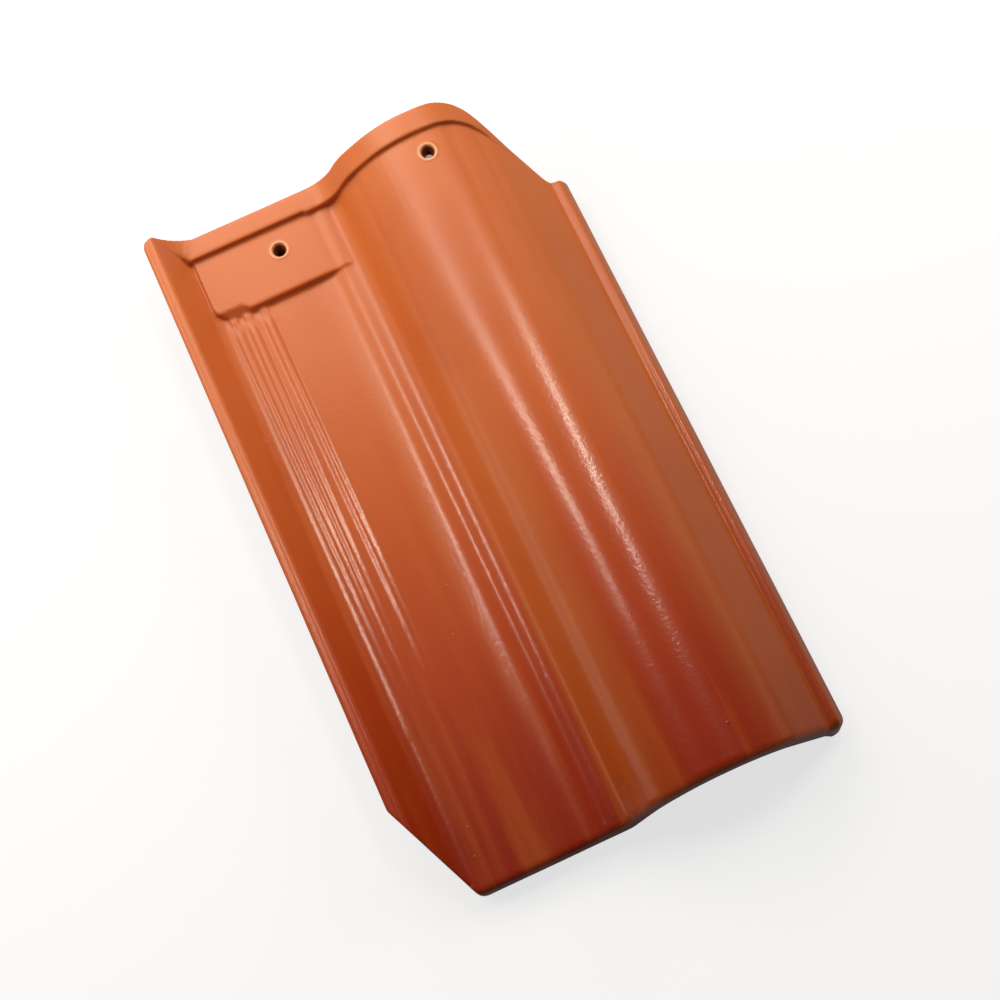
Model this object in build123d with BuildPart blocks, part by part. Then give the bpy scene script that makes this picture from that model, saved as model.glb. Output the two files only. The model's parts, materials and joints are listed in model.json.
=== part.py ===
from build123d import *
from math import atan, cos, dist, radians, sin, tan
import os

# Overall sizes, in millimetres. Lengths run from the foot edge to the head edge,
# widths from the left edge, and heights from the pan's upper surface.
tile_length = 450
tile_width = 260
wall = 10
under_depth = 8

# Left side: a rim with two beads, and a flank that falls to the pan
rim_height = 24
rim_width = 8
rim_lead = 4.5
rim_bend = 1
flank_foot = 23
flank_bend = 12
bead_radius = 1.5
bead_places = (2.4, 5.8)

# Pan, which rises a little to a low ledge beside the roll
pan_rise = 1.4
pan_rise_width = 10
pan_rise_rounding = 0.8
crease_bend = 0.8
ledge_slope_width = 8
ledge_width = 11.9
ledge_height = 4.5
ledge_bend = 2.5

# Roll: flat strips tangent to one circle, joined by wide bends
roll_height = 44.5
roll_radius = 66
roll_tilts = (-58, -33, 0, 28, 45)
roll_strip = 2.2
toe_bend = 14
inner_toe_bend = 4
flank_share = 0.95

# Right side: a flange with a groove and a bead, and a lip that reaches the ground
flange_width = 10.7
flange_height = 5.5
flange_edge_width = 4
flange_bend = 2
lip_shoulder = -2
lip_bend = 2.5
lip_top_width = 15
lip_foot_width = 9
lip_chamfer = 2
groove_radius = 0.8
flange_bead_radius = 3.2
flange_bead_rise = 0.7
flange_bead_from_right = 6.4

# Foot edge: a round arris on its upper side
foot_arris = 5

# Corner cuts in plan, at the foot on the left and at the head on the right
foot_cut_width = 28
foot_cut_length = 63
foot_cut_bend = 6
head_cut_width = 48
head_cut_length = 65.5
head_cut_bend = 28
flange_end_width = 11.5
flange_end_bend = 8
flange_corner_bend = 7
rim_corner_bend = 7
rim_end_width = 11.5
rim_end_foot = 29.5
corner_bend = 2

# Head: a bar over the pan, and a band over the roll that narrows along the corner cut
bar_width = 14
bar_left = 22
bar_height = 9
bar_bend = 5
bar_end_bend = 3
bar_blend = 28
bar_sink = 0.5
band_width = 15.5
band_rise = 3
band_toe_bend = 24
band_shoulder_bend = 34
band_tail_inset = 5
band_tail_bend = 30

# Platform with a shallow crease at its right side. Its step leans back, and more so in the notch at its left.
platform_left = 23.5
platform_length = 60
platform_height = 5
platform_corner_width = 10
platform_corner_length = 7
platform_corner_bend = 8
platform_crease_width = 4
platform_crease_depth = 0.5
platform_ridge_width = 1.5
platform_ridge_rise = 0.8
platform_fall = 0.6
platform_bend = 6
step_slope = 1.65
notch_slope = 6.1
notch_width = 41.5
notch_end_width = 4.5

# Ribs on the pan, which start at the step, drift a little sideways and sink into the surface
rib_places = (32.3, 41.6, 52.4)
rib_drifts = (2.8, -0.9, 2.2)
rib_radius = 5
rib_rise = 1.5
rib_sink = 0.3
rib_length = 340

# Shallow flutes along the roll, which narrow and run out before the foot
flute_tilts = (-43, 17.5, 32)
flute_radius = 40
flute_depth = 0.35
flute_end = 0.05
flute_start = 38

# Nail holes with deep conical mouths, each in a low collar
nail_radius = 2.5
nail_mouth_radius = 5
nail_mouth_angle = 40
collar_radius = 7.8
collar_rise = 0.5
collar_depth = 1.5
collar_taper = 35
nail_from_head = 30
pan_nail_place = 77
roll_nail_from_roll = 2

# Underside: a rib behind the foot edge, a hollow under the platform, and two nibs for the batten
foot_rib_width = 12
foot_rib_from_edge = 4
hollow_margin = 12
nib_places = (49, 94)
nib_width = 26
nib_thickness = 12
nib_from_head = 42

# The tile stands on the ground at height 0, centred on its own box
left_edge = -tile_width / 2
foot_edge = -(tile_length + rim_lead) / 2
head_edge = foot_edge + tile_length
pan_level = wall + under_depth
ground = -pan_level
step_place = tile_length - platform_length
flange_right = tile_width - flange_edge_width
lip_inner = tile_width - lip_top_width


def section_plane(place):
    """A plane across the tile, this far from the foot edge, with its origin on the pan's surface."""
    return Plane(origin=(left_edge, foot_edge + place, pan_level), x_dir=(1, 0, 0), z_dir=(0, -1, 0))


def plan_plane(height):
    """A level plane with its origin at the left end of the foot edge."""
    return Plane(origin=(left_edge, foot_edge, pan_level + height))


def side_plane(place):
    """A plane along the tile, this far from the left edge, with its origin on the pan's surface."""
    return Plane(origin=(left_edge + place, foot_edge, pan_level), x_dir=(0, 1, 0), z_dir=(1, 0, 0))


def flank_reach(radius, tilt, height):
    """How far from the roll's axis a line of this tilt, tangent to the roll's circle, is at this height."""
    above_axis = height - roll_height + roll_radius
    return (radius - above_axis * cos(radians(tilt))) / sin(radians(tilt))


roll_centre = tile_width - flange_width - flank_reach(roll_radius, roll_tilts[-1], flange_height)


def flank_point(radius, tilt, height):
    """The point at this height on a line of this tilt, tangent to the roll's circle."""
    return (roll_centre + flank_reach(radius, tilt, height), height)


def roll_corner(radius, tilt, next_tilt):
    """Where two lines of these tilts, both tangent to the roll's circle, meet."""
    angle = radians((tilt + next_tilt) / 2)
    reach = radius / cos(radians((next_tilt - tilt) / 2))
    return (roll_centre + reach * sin(angle), roll_height - roll_radius + reach * cos(angle))


def roll_corners(radius):
    """The corners of the roll's outline at this distance from the roll's axis."""
    return [roll_corner(radius, tilt, after) for tilt, after in zip(roll_tilts, roll_tilts[1:])]


def strip_bends(radius):
    """The bends at those corners, which leave a flat strip between each two."""
    half_turns = [radians(after - tilt) / 2 for tilt, after in zip(roll_tilts, roll_tilts[1:])]
    return [radius - roll_strip / 2 / tan(half_turn) for half_turn in half_turns]


def toe_bend_within(bend, toe, corner, shoulder_bend):
    """A bend at the roll's left toe, limited by what the bend above it leaves of the flank."""
    left_over = dist(toe, corner) - shoulder_bend * tan(radians(roll_tilts[1] - roll_tilts[0]) / 2)
    return min(bend, flank_share * left_over / tan(radians(-roll_tilts[0]) / 2))


def step_outline(slope):
    """What is cut off before the step, whose face leans back by this much over the platform's height."""
    return Polyline(
        (step_place - wall, 0),
        (step_place, 0),
        (step_place + 2 * slope, 2 * platform_height),
        (step_place - wall, 2 * platform_height),
        close=True,
    )


outer = roll_corners(roll_radius)
inner = roll_corners(roll_radius - wall)
middle = roll_corners(roll_radius - wall / 2)
raised = roll_corners(roll_radius + band_rise)
outer_bends = strip_bends(roll_radius)
inner_bends = strip_bends(roll_radius - wall)
raised_bends = [band_shoulder_bend] + strip_bends(roll_radius + band_rise)[1:]
left_toe = flank_point(roll_radius, roll_tilts[0], ledge_height)
right_toe = flank_point(roll_radius, roll_tilts[-1], flange_height)
inner_toe = flank_point(roll_radius - wall, roll_tilts[0], -wall)
ledge_edge = left_toe[0] - ledge_width
pan_right = ledge_edge - ledge_slope_width
lip_drop = (lip_inner - inner[-1][0]) * tan(radians(roll_tilts[-1]))
flange_bead_height = flange_height + flange_bead_rise - flange_bead_radius
raised_toe = flank_point(roll_radius + band_rise, roll_tilts[0], bar_height)
inside_toe = left_toe[0] + wall / 2
rise_turn = atan(pan_rise / pan_rise_width)
pan_rise_bend = pan_rise_rounding * pan_rise_width / tan(rise_turn / 2)
outer_toe_bend = toe_bend_within(toe_bend, left_toe, outer[0], outer_bends[0])
raised_toe_bend = toe_bend_within(band_toe_bend, raised_toe, raised[0], band_shoulder_bend)

# How far the corner cut at the head goes across for each unit along
cut_lean = (head_cut_width - flange_end_width) / head_cut_length

# The flank's underside is parallel to its upper side, one wall away
flank_slope = rim_height / (flank_foot - rim_width)
under_flank_foot = flank_foot - wall * ((1 + flank_slope**2) ** 0.5 - 1) / flank_slope

# Bar along the head of the pan. At the head edge it blends into the flank, and at its foot side its end is round.
with BuildPart() as bar:
    with BuildSketch(section_plane(tile_length + rim_lead)):
        with BuildLine():
            blended = FilletPolyline(
                (rim_width - bar_sink, rim_height),
                (flank_foot - bar_sink - bar_height / flank_slope, bar_height),
                (inside_toe, bar_height),
                radius=bar_blend,
            )
            Polyline(blended @ 1, (inside_toe, -wall / 2), (flank_foot, -wall / 2), blended @ 0)
        make_face()
    with BuildSketch(section_plane(tile_length - bar_width)):
        with BuildLine():
            rounded = FilletPolyline(
                (bar_left, 0),
                (bar_left, bar_height),
                (inside_toe, bar_height),
                radius=bar_end_bend,
            )
            Polyline(rounded @ 1, (inside_toe, -wall / 2), (flank_foot, -wall / 2), rounded @ 0)
        make_face()
    loft(ruled=True)
    with BuildSketch(plan_plane(ground)) as bar_plan:
        with BuildLine():
            Polyline(
                (0, tile_length + rim_lead),
                (bar_left, tile_length - bar_width),
                (inside_toe, tile_length - bar_width),
                (inside_toe, tile_length + rim_lead),
                close=True,
            )
        make_face()
        fillet(bar_plan.vertices().group_by(Axis.Y)[0].sort_by(Axis.X)[0], bar_bend)
    extrude(amount=pan_level + rim_height, mode=Mode.INTERSECT)

# Platform between the step and the head, with its foot-left corner cut back
with BuildPart() as platform:
    with BuildSketch(section_plane(tile_length)):
        with BuildLine():
            platform_top = FilletPolyline(
                (platform_left, platform_height),
                (pan_right, platform_height),
                (pan_right + platform_crease_width, platform_height - platform_crease_depth),
                (ledge_edge + platform_ridge_width, platform_height + platform_ridge_rise),
                (left_toe[0], ledge_height - platform_fall),
                radius=platform_bend,
            )
            Polyline(
                platform_top @ 1,
                (left_toe[0], -wall / 2),
                (platform_left, -wall / 2),
                platform_top @ 0,
            )
        make_face()
    extrude(amount=platform_length)
    with BuildSketch(plan_plane(ground)) as platform_plan:
        with BuildLine():
            Polyline(
                (platform_left, tile_length),
                (platform_left, step_place + platform_corner_length),
                (platform_left + platform_corner_width, step_place),
                (left_toe[0], step_place),
                (left_toe[0], tile_length),
                close=True,
            )
        make_face()
        fillet(platform_plan.vertices().group_by(Axis.Y)[0].sort_by(Axis.X)[0], platform_corner_bend)
        fillet(platform_plan.vertices().group_by(Axis.X)[0].sort_by(Axis.Y)[0], platform_corner_bend)
    extrude(amount=pan_level + bar_height, mode=Mode.INTERSECT)

    # The leaning face of the step, the notch, and the slope between them
    with BuildSketch(side_plane(0)):
        with BuildLine():
            step_outline(step_slope)
        make_face()
    extrude(amount=inside_toe, mode=Mode.SUBTRACT)
    with BuildSketch(side_plane(0)):
        with BuildLine():
            step_outline(notch_slope)
        make_face()
    extrude(amount=notch_width, mode=Mode.SUBTRACT)
    with BuildSketch(side_plane(notch_width)):
        with BuildLine():
            step_outline(notch_slope)
        make_face()
    with BuildSketch(side_plane(notch_width + notch_end_width)):
        with BuildLine():
            step_outline(step_slope)
        make_face()
    loft(ruled=True, mode=Mode.SUBTRACT)

# Band over the head of the roll, parallel to its surface, with a tail along the corner cut
with BuildPart() as band:
    with BuildSketch(section_plane(tile_length)):
        with BuildLine():
            over = FilletPolyline(
                (pan_right, bar_height),
                raised_toe,
                *raised,
                flank_point(roll_radius + band_rise, roll_tilts[-1], flange_height),
                radius=[raised_toe_bend] + raised_bends,
            )
            Polyline(over @ 1, right_toe, *reversed(middle), (inside_toe, 0), (pan_right, 0), over @ 0)
        make_face()
    extrude(amount=head_cut_length)
    with BuildSketch(plan_plane(ground)) as band_plan:
        with BuildLine():
            Polyline(
                (pan_right, tile_length),
                (pan_right, tile_length - band_width),
                (tile_width - head_cut_width - band_tail_inset + band_width * cut_lean, tile_length - band_width),
                (tile_width - flange_end_width - band_tail_inset, tile_length - head_cut_length),
                (tile_width, tile_length - head_cut_length),
                (tile_width, tile_length),
                close=True,
            )
        make_face()
        fillet(band_plan.vertices().sort_by(Axis.Y)[2:4].sort_by(Axis.X)[-1], band_tail_bend)
    extrude(amount=pan_level + roll_height + band_rise, mode=Mode.INTERSECT)

with BuildPart() as tile:
    # The section of the tile, along its whole length
    with BuildSketch(section_plane(0)):
        with BuildLine():
            top = FilletPolyline(
                (0, rim_height),
                (rim_width, rim_height),
                (flank_foot, 0),
                (pan_right - pan_rise_width, 0),
                (pan_right, pan_rise),
                (ledge_edge, ledge_height),
                left_toe,
                *outer,
                right_toe,
                (flange_right, flange_height),
                (tile_width, lip_shoulder),
                radius=[rim_bend, flank_bend, pan_rise_bend, crease_bend, ledge_bend, outer_toe_bend]
                + outer_bends
                + [flange_bend, lip_bend],
            )
            below = FilletPolyline(
                (0, under_flank_foot * flank_slope - wall),
                (under_flank_foot, -wall),
                inner_toe,
                *inner,
                (lip_inner, inner[-1][1] - lip_drop),
                (tile_width - lip_foot_width, ground),
                radius=[flank_bend + wall, inner_toe_bend] + inner_bends + [lip_bend],
            )
            Line(top @ 0, below @ 0)
            Polyline(top @ 1, (tile_width, ground + lip_chamfer), (tile_width - lip_chamfer, ground), below @ 1)
        make_face()
    extrude(amount=-(tile_length + rim_lead))

    # Round arris along the foot edge
    upper_faces = tile.faces().filter_by(lambda face: face.normal_at().Z > 0.05)
    foot_face = tile.faces().sort_by(Axis.Y)[0]
    fillet(upper_faces.edges() & foot_face.edges(), foot_arris)

    # Flutes, whose cutter sinks into the roll towards the head
    flute_length = tile_length - flute_start
    for tilt in flute_tilts:
        across = sin(radians(tilt))
        up = cos(radians(tilt))
        reach = roll_radius + flute_radius - flute_end
        sink = (flute_depth - flute_end) / flute_length
        with BuildSketch(section_plane(flute_start)):
            with Locations((roll_centre + reach * across, roll_height - roll_radius + reach * up)):
                Circle(flute_radius)
        extrude(amount=flute_length, dir=(-sink * across, 1, -sink * up), mode=Mode.SUBTRACT)

    # Beads on the rim and on the flange, and the groove beside the roll
    with BuildSketch(section_plane(foot_arris)):
        with Locations(*[(place, rim_height - bead_radius / 2) for place in bead_places]):
            Circle(bead_radius)
        with Locations((tile_width - flange_bead_from_right, flange_bead_height)):
            Circle(flange_bead_radius)
    extrude(amount=-(tile_length + rim_lead - foot_arris))
    with Locations((tile_width / 2 - flange_bead_from_right, foot_edge + foot_arris, pan_level + flange_bead_height)):
        Sphere(flange_bead_radius)
    with BuildSketch(section_plane(0)):
        with Locations((right_toe[0] + groove_radius, flange_height)):
            Circle(groove_radius)
    extrude(amount=-(tile_length + rim_lead), mode=Mode.SUBTRACT)

    # Rib along the foot on the underside, and the hollow under the platform
    with BuildSketch(plan_plane(ground)):
        with Locations((flank_foot, foot_rib_from_edge)):
            Rectangle(inner_toe[0] - flank_foot, foot_rib_width, align=(Align.MIN, Align.MIN))
    extrude(amount=pan_level - wall / 2)
    add([platform.part, bar.part, band.part])
    with BuildSketch(plan_plane(ground)):
        with Locations((platform_left + hollow_margin, step_place + hollow_margin)):
            Rectangle(
                ledge_edge - platform_left - hollow_margin,
                platform_length - hollow_margin - bar_width,
                align=(Align.MIN, Align.MIN),
            )
    extrude(amount=under_depth + platform_height, mode=Mode.SUBTRACT)
    with BuildSketch(plan_plane(ground)):
        with Locations(*[(place, tile_length - nib_from_head) for place in nib_places]):
            Rectangle(nib_width, nib_thickness)
    extrude(amount=pan_level - wall / 2 + platform_height)

    # Ribs on the pan
    for place, drift in zip(rib_places, rib_drifts):
        with BuildSketch(section_plane(step_place + wall / 2)):
            with Locations((place, rib_rise - rib_radius)):
                Circle(rib_radius)
        extrude(amount=rib_length, dir=(drift / rib_length, -1, -(rib_rise + rib_sink) / rib_length))

    # Outline in plan, with the two corner cuts
    with BuildSketch(plan_plane(ground)):
        with BuildLine():
            FilletPolyline(
                (foot_cut_width, 0),
                (0, foot_cut_length),
                (0, tile_length + rim_lead),
                (rim_end_width, tile_length + rim_lead),
                (rim_end_foot, tile_length),
                (tile_width - head_cut_width, tile_length),
                (tile_width - flange_end_width, tile_length - head_cut_length),
                (tile_width, tile_length - head_cut_length),
                (tile_width, 0),
                radius=[
                    foot_cut_bend,
                    foot_cut_bend,
                    rim_corner_bend,
                    corner_bend,
                    corner_bend,
                    head_cut_bend,
                    flange_end_bend,
                    corner_bend,
                    flange_corner_bend,
                ],
                close=True,
            )
        make_face()
    extrude(amount=pan_level + roll_height + band_rise, mode=Mode.INTERSECT)

    # Nail holes and their collars
    for place, height in ((pan_nail_place, platform_height), (roll_centre + roll_nail_from_roll, roll_height)):
        with BuildSketch(plan_plane(height + collar_rise)):
            with Locations((place, tile_length - nail_from_head)):
                Circle(collar_radius - collar_depth * tan(radians(90 - collar_taper)))
        extrude(amount=-collar_depth, taper=-(90 - collar_taper))
        with Locations(Location((left_edge + place, head_edge - nail_from_head, pan_level + height + collar_rise))):
            CounterSinkHole(nail_radius, nail_mouth_radius, 2 * wall, nail_mouth_angle)

tile.part.label = "roof_tile"
os.makedirs("parts", exist_ok=True)
export_step(tile.part, "parts/roof_tile.step")
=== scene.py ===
import json
import math

import bmesh
import bpy
from mathutils import Matrix, Vector, noise
from mathutils.bvhtree import BVHTree

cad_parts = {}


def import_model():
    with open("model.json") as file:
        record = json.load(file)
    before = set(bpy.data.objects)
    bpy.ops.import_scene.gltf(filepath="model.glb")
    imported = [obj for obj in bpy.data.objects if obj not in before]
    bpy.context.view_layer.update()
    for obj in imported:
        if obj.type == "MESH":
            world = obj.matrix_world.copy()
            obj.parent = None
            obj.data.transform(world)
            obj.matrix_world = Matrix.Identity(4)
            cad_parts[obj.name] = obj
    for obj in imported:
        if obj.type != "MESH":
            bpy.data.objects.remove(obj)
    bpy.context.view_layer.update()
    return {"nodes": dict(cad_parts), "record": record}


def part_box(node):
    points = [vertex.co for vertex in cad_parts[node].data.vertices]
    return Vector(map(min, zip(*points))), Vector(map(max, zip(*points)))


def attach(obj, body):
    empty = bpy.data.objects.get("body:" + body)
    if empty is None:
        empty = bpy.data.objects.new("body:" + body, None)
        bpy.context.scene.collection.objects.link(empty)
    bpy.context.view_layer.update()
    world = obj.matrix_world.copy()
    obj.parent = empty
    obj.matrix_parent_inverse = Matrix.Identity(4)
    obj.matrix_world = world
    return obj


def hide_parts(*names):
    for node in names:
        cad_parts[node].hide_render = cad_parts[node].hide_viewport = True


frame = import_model()
tile_low, tile_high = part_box("roof_tile")

# Camera, at the place that the photo was taken from
camera_place = (-0.0556, -0.3690, 1.1389)
camera_turn = (17.088, 4.577, -24.339)
camera_lens = 70.2
camera_sensor = 36

# Body: the step of its skin, how far its arrises are worn, and how many facets are left
skin_step = 0.0008
merge_reach = 1e-6
wear_share = 0.5
wear_rounds = 3
even_rounds = 30
most_facets = 190000

# Waves of the upper surface, which start a little above the floor and grow to their full height
wave_height = 0.00014
wave_length = 0.045
wave_from = 0.002
wave_over = 0.006

# Where fine forms are kept crisp, and where the pan and the roll run straight and are made even
rim_right = tile_low.x + 0.0085
flange_left = tile_high.x - 0.0105
fine_reach = 0.009
even_left = tile_low.x + 0.024
even_right = tile_high.x - 0.014
even_foot = tile_low.y + 0.007
even_head = tile_low.y + 0.387

# Ribs on the pan, from the step towards the foot
rib_places = (tile_low.x + 0.0323, tile_low.x + 0.0416, tile_low.x + 0.0524)
rib_drifts = (0.0028, -0.0009, 0.0022)
rib_rise = 0.0015
rib_sink = 0.0003
rib_half_width = 0.0046
rib_blend = 0.006
ribs_length = 0.340
ribs_from = tile_low.y + 0.395
ribs_head = tile_low.y + 0.383
ribs_left = tile_low.x + 0.026
ribs_right = tile_low.x + 0.062
upper_side = 0.8

# The plain pan under the ribs: where its heights are taken, and how they are evened out
plain_pan_y = tile_low.y + 0.100
ray_height = 0.1
down = Vector((0, 0, -1))
profile_step = 0.0005
profile_blur = 0.002
profile_marks = 81

# Where the band's tail fades out along the corner cut, and a place where the roll is plain
tail_from_x = 0.06
tail_low_y = 0.150
tail_gone_y = 0.178
tail_full_y = 0.208
tail_margin = 0.02
tail_above = 0.02
plain_roll_y = 0.12

# Colours of the fired clay, from the foot to the head, each at its share of the tile's length; they grow
# darker towards the foot, partly the clay's own tone and partly painted shade.
# The roll's sloping sides, picked by which way they face, are painted lighter and more ochre than the flats
# towards the foot: painted light.
flat_tone_and_shade = (
    (0.00, (0.28, 0.017, 0.002, 1)),
    (0.12, (0.34, 0.027, 0.003, 1)),
    (0.30, (0.45, 0.058, 0.008, 1)),
    (0.50, (0.56, 0.110, 0.022, 1)),
    (0.72, (0.63, 0.150, 0.036, 1)),
    (1.00, (0.68, 0.180, 0.050, 1)),
)
lit_side_colours = (
    (0.00, (0.34, 0.050, 0.007, 1)),
    (0.12, (0.42, 0.080, 0.011, 1)),
    (0.50, (0.58, 0.140, 0.030, 1)),
    (1.00, (0.68, 0.180, 0.046, 1)),
)
ochre = (0.62, 0.17, 0.022, 1)
deep_red = (0.36, 0.030, 0.005, 1)
# Painted shade inside each nail hole
hole_shade = (0.20, 0.035, 0.014, 1)
# Painted highlight: a pale ring around each nail hole's mouth, where its lip catches the light
lip_highlight = (0.95, 0.52, 0.30, 1)

# How the colours vary: waves to the metre, and the largest share that each pattern gives its colour
streak_waves = 70.0
streak_stretch = (1, 0.06, 0.3)
cloud_waves = 9.0
cloud_shift = 0.12
grain_waves = 900.0
streak_share = 0.28
cloud_share = 0.22
grain_share = 0.10
# The share of the painted highlight on the nail holes' lips
lip_highlight_share = 0.8

# Relief of the glaze: orange peel, fine grain and dimples, as waves to the metre with their height
relief_layers = ((420.0, 0.00010), (900.0, 0.00001), (90.0, 0.00006))

# Gloss, which is fuller at the foot than at the head
gloss_from = 0.45
coat_from = 0.50
gloss_to = 0.95
foot_roughness = 0.17
head_roughness = 0.42
streak_roughness = 0.08
foot_coat = 0.60
head_coat = 0.30
coat_roughness = 0.30
coat_ior = 1.5
clay_specular = 0.45

# Grit under the glaze: bumps, each at its place on the tile with its radius and height
grit = (
    (-0.0538, -0.0812, 0.0010, 0.00035),
    (0.0640, -0.2036, 0.0016, 0.00040),
    (-0.0927, -0.1882, 0.0010, 0.00030),
    (-0.0956, -0.2052, 0.0010, 0.00030),
    (-0.1179, 0.1397, 0.0012, 0.00030),
    (-0.0402, 0.0770, 0.0009, 0.00025),
    (-0.0018, 0.1035, 0.0012, 0.00030),
    (-0.0455, -0.0521, 0.0009, 0.00025),
)

nail_places = [mount["pos_m"] for mount in frame["record"]["mounts"] if mount["kind"] == "bore"]
nail_mouth = 0.005

# Floor, its own light, and the part under the tile that gives none
floor_reach = 6
floor_colour = (0.30, 0.32, 0.35, 1)
white = (1, 1, 1, 1)
floor_glow = 0.72
mirrored_share = 0.06
under_middle = (-0.0075, 0.0405)
under_inner = (0.088, 0.1845)
under_outer = (0.0925, 0.190)

# Light
warm_white = (1.0, 0.88, 0.74)
surround_strength = 0.05


class Value:
    """One output socket of a node. Python's operators on it add Math nodes to its tree."""

    def __init__(self, socket):
        self.socket = socket

    def math(self, operation, first, second=None):
        node = self.socket.id_data.nodes.new("ShaderNodeMath")
        node.operation = operation
        for slot, value in zip(node.inputs, (first, second)):
            if value is not None:
                connect(value, slot)
        return Value(node.outputs[0])

    def __add__(self, other):
        return self.math("ADD", self, other)

    def __radd__(self, other):
        return self.math("ADD", other, self)

    def __sub__(self, other):
        return self.math("SUBTRACT", self, other)

    def __rsub__(self, other):
        return self.math("SUBTRACT", other, self)

    def __mul__(self, other):
        return self.math("MULTIPLY", self, other)

    def __rmul__(self, other):
        return self.math("MULTIPLY", other, self)

    def __pow__(self, other):
        return self.math("POWER", self, other)

    def __abs__(self):
        return self.math("ABSOLUTE", self)


def connect(value, socket):
    """Links a value to a socket, or sets the socket to a plain number or colour."""
    if isinstance(value, Value):
        socket.id_data.links.new(value.socket, socket)
    else:
        socket.default_value = value


class Finish:
    """A material whose nodes are added one by one."""

    def __init__(self, name):
        self.material = bpy.data.materials.new(name)
        self.material.use_nodes = True
        self.tree = self.material.node_tree
        self.tree.nodes.clear()

    def node(self, kind, settings=None, sockets=None):
        """Adds a node, with its settings set first and then its sockets, and returns its outputs by name."""
        node = self.tree.nodes.new("ShaderNode" + kind)
        for name, value in (settings or {}).items():
            if name == "stops":
                ramp = node.color_ramp
                while len(ramp.elements) < len(value):
                    ramp.elements.new(1)
                for stop, (place, colour) in zip(ramp.elements, value):
                    stop.position = place
                    stop.color = colour
            else:
                setattr(node, name, value)
        for name, value in (sockets or {}).items():
            connect(value, node.inputs[name])
        return {socket.name: Value(socket) for socket in node.outputs if socket.enabled}

    def ramp(self, value, low, high, start=0.0, end=1.0, smooth=True):
        """Maps a value from the range low to high onto the range start to end, and keeps it in there."""
        kind = "SMOOTHSTEP" if smooth else "LINEAR"
        sockets = {"Value": value, "From Min": low, "From Max": high, "To Min": start, "To Max": end}
        return self.node("MapRange", {"interpolation_type": kind}, sockets)["Result"]

    def blend(self, factor, first, second):
        """Mixes two colours."""
        settings = {"data_type": "RGBA"}
        return self.node("Mix", settings, {"Factor": factor, 6: first, 7: second})["Result"]

    def place(self, scale=(1, 1, 1)):
        """Object coordinates, stretched along each axis."""
        coordinates = self.node("TexCoord")["Object"]
        return self.node("Mapping", None, {"Vector": coordinates, "Scale": scale})["Vector"]

    def axes(self):
        """The three Object coordinates, each as a value."""
        parts = self.node("SeparateXYZ", None, {"Vector": self.place()})
        return parts["X"], parts["Y"], parts["Z"]

    def noise(self, scale, detail=2.0, stretch=(1, 1, 1), roughness=0.5):
        """Noise from 0 to 1, with this many waves to the metre."""
        sockets = {"Vector": self.place(stretch), "Scale": scale, "Detail": detail, "Roughness": roughness}
        return self.node("TexNoise", None, sockets)["Fac"]

    def around(self, centre):
        """The distance from a point, in plan."""
        x, y, _ = self.axes()
        return ((x - centre[0]) ** 2 + (y - centre[1]) ** 2) ** 0.5

    def surface(self, shader):
        """Ends the material with this shader."""
        self.node("OutputMaterial", None, {"Surface": shader})
        return self.material


def glazed_clay():
    """Fired clay under a thin clear glaze: orange at the head, deep red at the foot, partly its own tone and
    partly painted shade.
    """
    finish = Finish("glazed_clay")
    x, y, _ = finish.axes()
    along = finish.ramp(y, tile_low.y, tile_high.y, smooth=False)

    # Colour: a gradient along the tile, darker towards the foot, partly the clay's own tone and partly
    # painted shade, with brushed streaks along the tile, clouds and fine grain
    streaks = finish.noise(streak_waves, 4.0, streak_stretch, 0.55)
    clouds = finish.noise(cloud_waves, 3.0)
    grain = finish.noise(grain_waves)
    tone_and_shade = along + (clouds - 0.5) * cloud_shift
    # Painted light: the roll's sloping sides, picked by which way they face, take lighter, more ochre
    # colours than the flats
    upright = finish.node("SeparateXYZ", None, {"Vector": finish.node("NewGeometry")["Normal"]})["Z"]
    lit_side_share = finish.ramp(upright, 0.98, 0.80, 0.0, 1.0) * finish.ramp(x, -0.03, -0.01)
    flat_colour = finish.node("ValToRGB", {"stops": flat_tone_and_shade}, {"Fac": tone_and_shade})["Color"]
    lit_side_colour = finish.node("ValToRGB", {"stops": lit_side_colours}, {"Fac": tone_and_shade})["Color"]
    colour = finish.blend(lit_side_share, flat_colour, lit_side_colour)
    colour = finish.blend(finish.ramp(streaks, 0.45, 0.75, 0.0, streak_share), colour, ochre)
    colour = finish.blend(finish.ramp(clouds, 0.45, 0.75, 0.0, cloud_share), colour, deep_red)
    colour = finish.blend(finish.ramp(grain, 0.55, 0.8, 0.0, grain_share), colour, ochre)
    for centre in nail_places:
        reach = finish.around(centre)
        # Painted highlight: a pale ring on the lip around the nail hole
        lip_highlight_mask = finish.ramp(reach, nail_mouth * 1.1, nail_mouth * 1.35, lip_highlight_share, 0.0)
        colour = finish.blend(lip_highlight_mask, colour, lip_highlight)
        # Painted shade inside the nail hole
        hole = finish.ramp(reach, nail_mouth * 0.76, nail_mouth * 0.94, 1.0, 0.0)
        colour = finish.blend(hole, colour, hole_shade)

    # Relief: the layers of the glaze, and the grit under it
    relief = 0
    for waves, height in relief_layers:
        relief = relief + finish.noise(waves) * height
    for grit_x, grit_y, radius, height in grit:
        relief = relief + finish.ramp(finish.around((grit_x, grit_y)), 0, radius, height, 0.0)
    normal = finish.node("Bump", None, {"Height": relief, "Distance": 1.0, "Strength": 1.0})["Normal"]

    roughness = finish.ramp(along, gloss_from, gloss_to, foot_roughness, head_roughness)
    roughness = roughness + (streaks - 0.5) * streak_roughness
    clay = finish.node(
        "BsdfPrincipled",
        None,
        {
            "Base Color": colour,
            "Roughness": roughness,
            "Normal": normal,
            "Coat Weight": finish.ramp(along, coat_from, gloss_to, foot_coat, head_coat),
            "Coat Roughness": coat_roughness,
            "Coat IOR": coat_ior,
            "Specular IOR Level": clay_specular,
        },
    )
    return finish.surface(clay["BSDF"])


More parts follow.
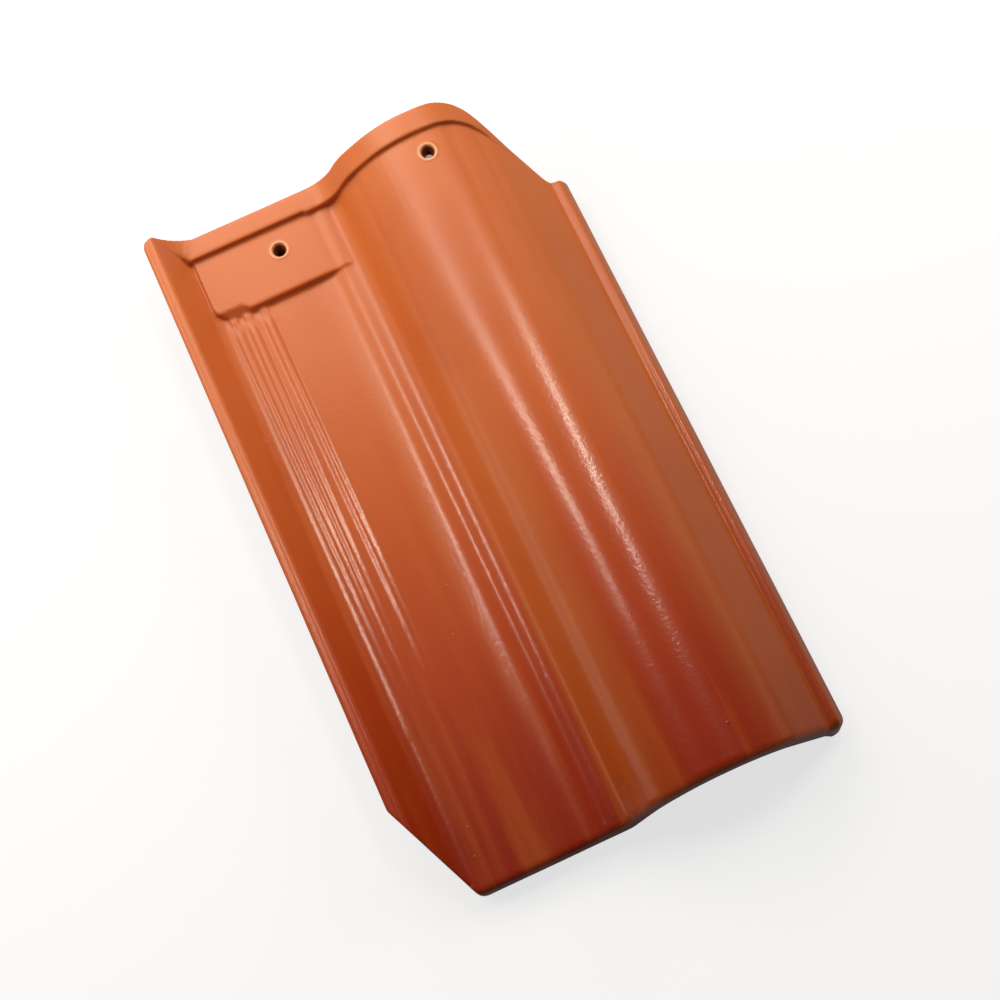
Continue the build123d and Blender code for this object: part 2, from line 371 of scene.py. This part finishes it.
def pale_floor():
    """A white floor that keeps the shadow of what lies on it. Its own light stops under the tile."""
    finish = Finish("pale_floor")
    path = finish.node("LightPath")
    mirrored = path["Is Glossy Ray"] + path["Is Transmission Ray"]
    seen = path["Is Camera Ray"] + mirrored * mirrored_share
    x, y, _ = finish.axes()
    across = finish.ramp(abs(x - under_middle[0]), under_inner[0], under_outer[0], 1.0, 0.0)
    under = across * finish.ramp(abs(y - under_middle[1]), under_inner[1], under_outer[1], 1.0, 0.0)
    matt = finish.node("BsdfDiffuse", None, {"Color": floor_colour})["BSDF"]
    strength = seen * floor_glow * (1 - under)
    glow = finish.node("Emission", None, {"Color": white, "Strength": strength})["Emission"]
    return finish.surface(finish.node("AddShader", None, {0: matt, 1: glow})["Shader"])


def mesh_with(mesh, kind, settings):
    """A mesh as one modifier of this kind, with these settings, leaves it."""
    piece = bpy.data.objects.new("work_piece", mesh)
    bpy.context.scene.collection.objects.link(piece)
    modifier = piece.modifiers.new(kind, kind)
    for name, value in settings.items():
        setattr(modifier, name, value)
    finished = piece.evaluated_get(bpy.context.evaluated_depsgraph_get())
    result = bpy.data.meshes.new_from_object(finished)
    bpy.data.objects.remove(piece)
    return result


def is_fine(place):
    """Whether a place is on a bead, beside a nail hole or on the flange, where little is worn away."""
    nail_gaps = [math.hypot(place.x - nail[0], place.y - nail[1]) for nail in nail_places]
    return min(nail_gaps) < fine_reach or place.x < rim_right or place.x > flange_left


def is_even(place):
    """Whether a place is on the pan or the roll below the step, where the tile runs straight."""
    return even_left < place.x < even_right and even_foot < place.y < even_head


def smooth(body, points, rounds, lengthwise=True):
    """Moves points towards their neighbours, in these many rounds, also along the tile or only across it."""
    axes = {"use_axis_x": True, "use_axis_y": lengthwise, "use_axis_z": True}
    for _ in range(rounds):
        bmesh.ops.smooth_vert(body, verts=points, factor=wear_share, **axes)


def wear(body):
    """Wears the arrises and corners round, and evens out the straight surfaces across the tile."""
    coarse = [point for point in body.verts if not is_fine(point.co)]
    straight = [point for point in coarse if is_even(point.co)]
    smooth(body, body.verts, 1)
    smooth(body, coarse, wear_rounds)
    smooth(body, straight, even_rounds, lengthwise=False)


def level_at(skin, x, y):
    """The height of the skin over a place, or None where there is no skin."""
    spot = skin.ray_cast(Vector((x, y, ray_height)), down)[0]
    return None if spot is None else spot.z


def plain_level(x, marks, levels):
    """The plain pan's height at a place across the tile, evened out between the marks."""
    shares = [math.exp(-(((x - mark) / profile_blur) ** 2)) for mark in marks]
    return sum(share * level for share, level in zip(shares, levels)) / sum(shares)


def rib_level(x, y):
    """The ribs' height above the plain pan."""
    run = (ribs_from - y) / ribs_length
    rise = max(rib_rise - (rib_rise + rib_sink) * run, 0)
    height = 0
    for rib_x, drift in zip(rib_places, rib_drifts):
        share = min(abs(x - rib_x - drift * run) / rib_half_width, 1)
        height += rise * math.cos(share * math.pi / 2) ** 2
    return height


def soft_ribs(body):
    """Lays the three ribs anew as round swellings of the pan, which start at the step and sink away."""
    skin = BVHTree.FromBMesh(body)
    marks = [ribs_left - profile_blur + profile_step * number for number in range(profile_marks)]
    levels = [level_at(skin, mark, plain_pan_y) for mark in marks]
    for point in body.verts:
        place = point.co
        beside = ribs_left < place.x < ribs_right and plain_pan_y < place.y < ribs_head
        if beside and point.normal.z > upper_side:
            height = plain_level(place.x, marks, levels) + rib_level(place.x, place.y)
            place.z += (height - place.z) * min((ribs_head - place.y) / rib_blend, 1)


def fade_band_tail(body):
    """Lets the band sink into the roll along the corner cut, where it fades out."""
    skin = BVHTree.FromBMesh(body)
    for point in body.verts:
        place = point.co
        beside = place.x > tail_from_x and tail_low_y < place.y < tail_full_y + tail_margin
        if beside and place.z > tail_above:
            plain = level_at(skin, place.x, plain_roll_y)
            if plain is not None and place.z > plain:
                share = min(max((place.y - tail_gone_y) / (tail_full_y - tail_gone_y), 0), 1)
                place.z = plain + (place.z - plain) * share * share * (3 - 2 * share)


def fired_waves(body):
    """Moves the upper surface by a fraction of a millimetre, as firing does, inside the tile's box."""
    body.normal_update()
    for point in body.verts:
        lift = min(max((point.co.z - wave_from) / wave_over, 0), 1)
        point.co += point.normal * noise.noise(point.co / wave_length) * wave_height * lift
        for axis in range(3):
            point.co[axis] = min(max(point.co[axis], tile_low[axis]), tile_high[axis])


def tile_body():
    """The tile as one even skin with worn arrises and a slightly uneven surface."""
    body = bmesh.new()
    body.from_mesh(frame["nodes"]["roof_tile"].data)
    bmesh.ops.remove_doubles(body, verts=body.verts, dist=merge_reach)
    mesh = bpy.data.meshes.new("glazed_body")
    body.to_mesh(mesh)
    mesh = mesh_with(mesh, "REMESH", {"mode": "VOXEL", "voxel_size": skin_step})
    body.clear()
    body.from_mesh(mesh)
    wear(body)
    soft_ribs(body)
    body.to_mesh(mesh)
    mesh = mesh_with(mesh, "DECIMATE", {"ratio": most_facets / (2 * len(mesh.polygons))})
    body.clear()
    body.from_mesh(mesh)
    fade_band_tail(body)
    fired_waves(body)
    for face in body.faces:
        face.smooth = True
    body.to_mesh(mesh)
    body.free()
    piece = bpy.data.objects.new("glazed_body", mesh)
    bpy.context.scene.collection.objects.link(piece)
    mesh.materials.clear()
    mesh.materials.append(glazed_clay())
    return piece


def floor():
    """A wide level floor."""
    shape = bmesh.new()
    bmesh.ops.create_grid(shape, x_segments=1, y_segments=1, size=floor_reach)
    mesh = bpy.data.meshes.new("floor")
    shape.to_mesh(mesh)
    shape.free()
    piece = bpy.data.objects.new("floor", mesh)
    bpy.context.scene.collection.objects.link(piece)
    mesh.materials.append(pale_floor())
    return piece


def lamp(name, place, aim, size, power, mirrored=True):
    """A rectangular lamp at a place, turned towards a point. Its first size is level."""
    light = bpy.data.lights.new(name, "AREA")
    light.shape = "RECTANGLE"
    light.size, light.size_y = size
    light.energy = power
    light.color = warm_white
    piece = bpy.data.objects.new(name, light)
    bpy.context.scene.collection.objects.link(piece)
    piece.location = place
    piece.rotation_euler = (Vector(aim) - Vector(place)).to_track_quat("-Z", "Y").to_euler()
    piece.visible_glossy = mirrored
    return piece


def tube_lamp(name, start, end, width, power):
    """A long thin lamp between two places, turned towards the tile."""
    start, end = Vector(start), Vector(end)
    middle = (start + end) / 2
    along = (end - start).normalized()
    across = along.cross(middle).normalized()
    light = bpy.data.lights.new(name, "AREA")
    light.shape = "RECTANGLE"
    light.size = width
    light.size_y = (end - start).length
    light.energy = power
    light.color = warm_white
    piece = bpy.data.objects.new(name, light)
    bpy.context.scene.collection.objects.link(piece)
    piece.matrix_world = Matrix((across, along, across.cross(along))).transposed().to_4x4()
    piece.location = middle
    return piece


def world():
    """A dim even surround."""
    sky = bpy.data.worlds.new("studio")
    bpy.context.scene.world = sky
    sky.use_nodes = True
    background = sky.node_tree.nodes["Background"]
    background.inputs["Color"].default_value = white
    background.inputs["Strength"].default_value = surround_strength


def camera():
    """The photo's camera."""
    lens = bpy.data.cameras.new("camera")
    lens.lens = camera_lens
    lens.sensor_width = camera_sensor
    piece = bpy.data.objects.new("camera", lens)
    bpy.context.scene.collection.objects.link(piece)
    piece.location = camera_place
    piece.rotation_euler = [math.radians(angle) for angle in camera_turn]
    bpy.context.scene.camera = piece


body = tile_body()
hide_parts("roof_tile")
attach(body, "root")
floor()
tube_lamp("left_tube", (-0.854, 0.935, 1.654), (-0.499, 0.404, 1.921), 0.045, 4.5)
tube_lamp("right_tube", (0.693, 0.935, 1.774), (0.507, 0.404, 1.946), 0.055, 5.5)
lamp("head_softbox", (-0.15, 0.80, 0.75), (0, 0.05, 0), (0.9, 0.5), 6.6)
lamp("left_fill", (-0.90, 0.45, 0.60), (0, 0, 0), (0.6, 0.6), 5, mirrored=False)
lamp("right_fill", (0.90, 0.35, 0.60), (0, 0, 0), (0.6, 0.6), 4.6, mirrored=False)
lamp("left_panel", (-1.30, 0.30, 0.30), (0, 0, 0), (0.9, 0.35), 0.8)
lamp("right_panel", (1.30, 0.10, 0.30), (0, 0, 0), (0.9, 0.30), 0.3)
world()
camera()
bpy.context.scene.view_settings.view_transform = "Standard"
